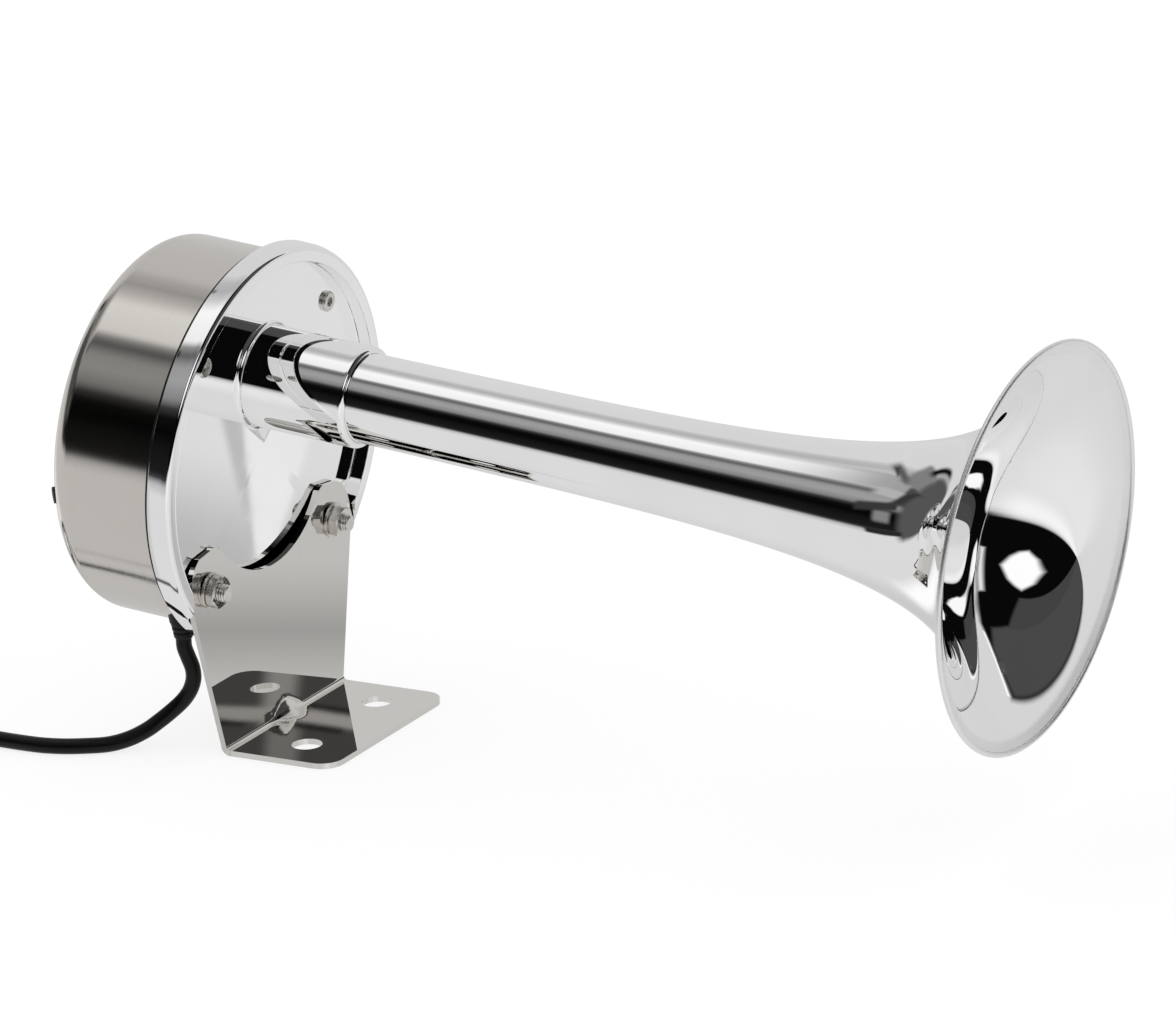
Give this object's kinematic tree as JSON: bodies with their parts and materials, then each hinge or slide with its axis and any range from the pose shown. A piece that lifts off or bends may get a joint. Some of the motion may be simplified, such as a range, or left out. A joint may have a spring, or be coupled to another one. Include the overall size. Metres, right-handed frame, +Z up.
{
  "type": "diaphragm horn",
  "caption": "Chromed trumpet horn with an electric diaphragm motor in a brushed drum, standing on an angle bracket, with a lead.",
  "frame": {"origin": "midway between the two foot holes, on the underside of the foot", "axes": "+Z up, +X towards the mouth of the trumpet"},
  "size_m": [0.4088, 0.1128, 0.1367],
  "materials": {
    "chromed_casting": "polished",
    "chromed_trumpet": "polished",
    "brushed_drum": "brushed",
    "black_rubber": "matte",
    "gasket": "matte",
    "spring_steel": "satin",
    "soft_iron": "zinc plated",
    "bright_fastener": "polished",
    "bracket_steel": "mill finish",
    "copper_wire": "enamelled",
    "bobbin_plastic": "moulded",
    "phenolic": "pressed",
    "spring_bronze": "satin",
    "brass_turned": "turned",
    "capacitor_case": "glossy",
    "red_insulation": "glossy",
    "black_insulation": "glossy",
    "cable_sheath": "satin"
  },
  "bodies": {
    "horn": {"front_housing": "chromed_casting", "trumpet": "chromed_trumpet", "throat_seal": "gasket", "seam_gasket": "black_rubber", "rear_cover": "brushed_drum", "drain_plug": "black_rubber", "front_gasket": "gasket", "rear_gasket": "gasket", "diaphragm_rim": "spring_steel", "motor_case": "soft_iron", "pole_core": "soft_iron", "coil_bobbin": "bobbin_plastic", "coil_winding": "copper_wire", "flange_screws": "bright_fastener", "flange_nuts": "bright_fastener", "bracket_bolts": "bright_fastener", "bracket_spacers": "black_rubber", "bracket_washers": "bright_fastener", "bracket_nuts": "bright_fastener", "bracket": "bracket_steel", "breaker_base": "bright_fastener", "breaker_insulators": "phenolic", "breaker_rivets": "brass_turned", "leaf_roots": "spring_bronze", "capacitor": "capacitor_case", "inner_lead_live": "red_insulation", "inner_lead_return": "black_insulation", "cable_grommet": "black_rubber", "cable": "cable_sheath", "cable_coil": "cable_sheath", "cable_tails": "copper_wire"},
    "diaphragm_centre": {"diaphragm": "spring_steel", "armature": "soft_iron", "plunger": "bright_fastener", "plunger_nut": "brass_turned", "plunger_tip": "phenolic"},
    "contact_leaf": {"contact_arm": "spring_bronze"},
    "fixed_leaf": {"fixed_contact_arm": "spring_bronze"},
    "tone_collar_body": {"tone_collar": "phenolic"},
    "tone_screw_body": {"tone_screw": "brass_turned"}
  },
  "joints": [
    {"name": "diaphragm_stroke", "type": "slide", "parent": "horn", "child": "diaphragm_centre", "axis": [0.996, 0, -0.0889], "range_m": [-0.0004, 0.0001], "stiffness_N_per_m": 4000},
    {"name": "contact_leaf_bend", "type": "hinge", "parent": "horn", "child": "contact_leaf", "pos_m": [-0.054, 0.0177, 0.08345], "axis": [0.0889, 0, 0.996], "range_deg": [-1.4, 0.4]},
    {"name": "tone_travel", "type": "slide", "parent": "horn", "child": "tone_collar_body", "axis": [0.996, 0, -0.0889], "range_m": [-0.00016, 0.00025]},
    {"name": "tone_turn", "type": "hinge", "parent": "tone_collar_body", "child": "tone_screw_body", "pos_m": [-0.05315, -0.017, 0.08338], "axis": [0.996, 0, -0.0889], "range_deg": [-120, 182]},
    {"name": "fixed_leaf_bend", "type": "hinge", "parent": "horn", "child": "fixed_leaf", "pos_m": [-0.0519, 0.0177, 0.08327], "axis": [0.0889, 0, 0.996], "range_deg": [-0.3, 0.45]}
  ],
  "couplings": [
    {"joint": "contact_leaf_bend", "follows": "diaphragm_stroke", "rad_per_m": 56.497},
    {"joint": "tone_turn", "follows": "tone_travel", "rad_per_m": 12566},
    {"joint": "fixed_leaf_bend", "follows": "tone_travel", "rad_per_m": 28.818}
  ]
}
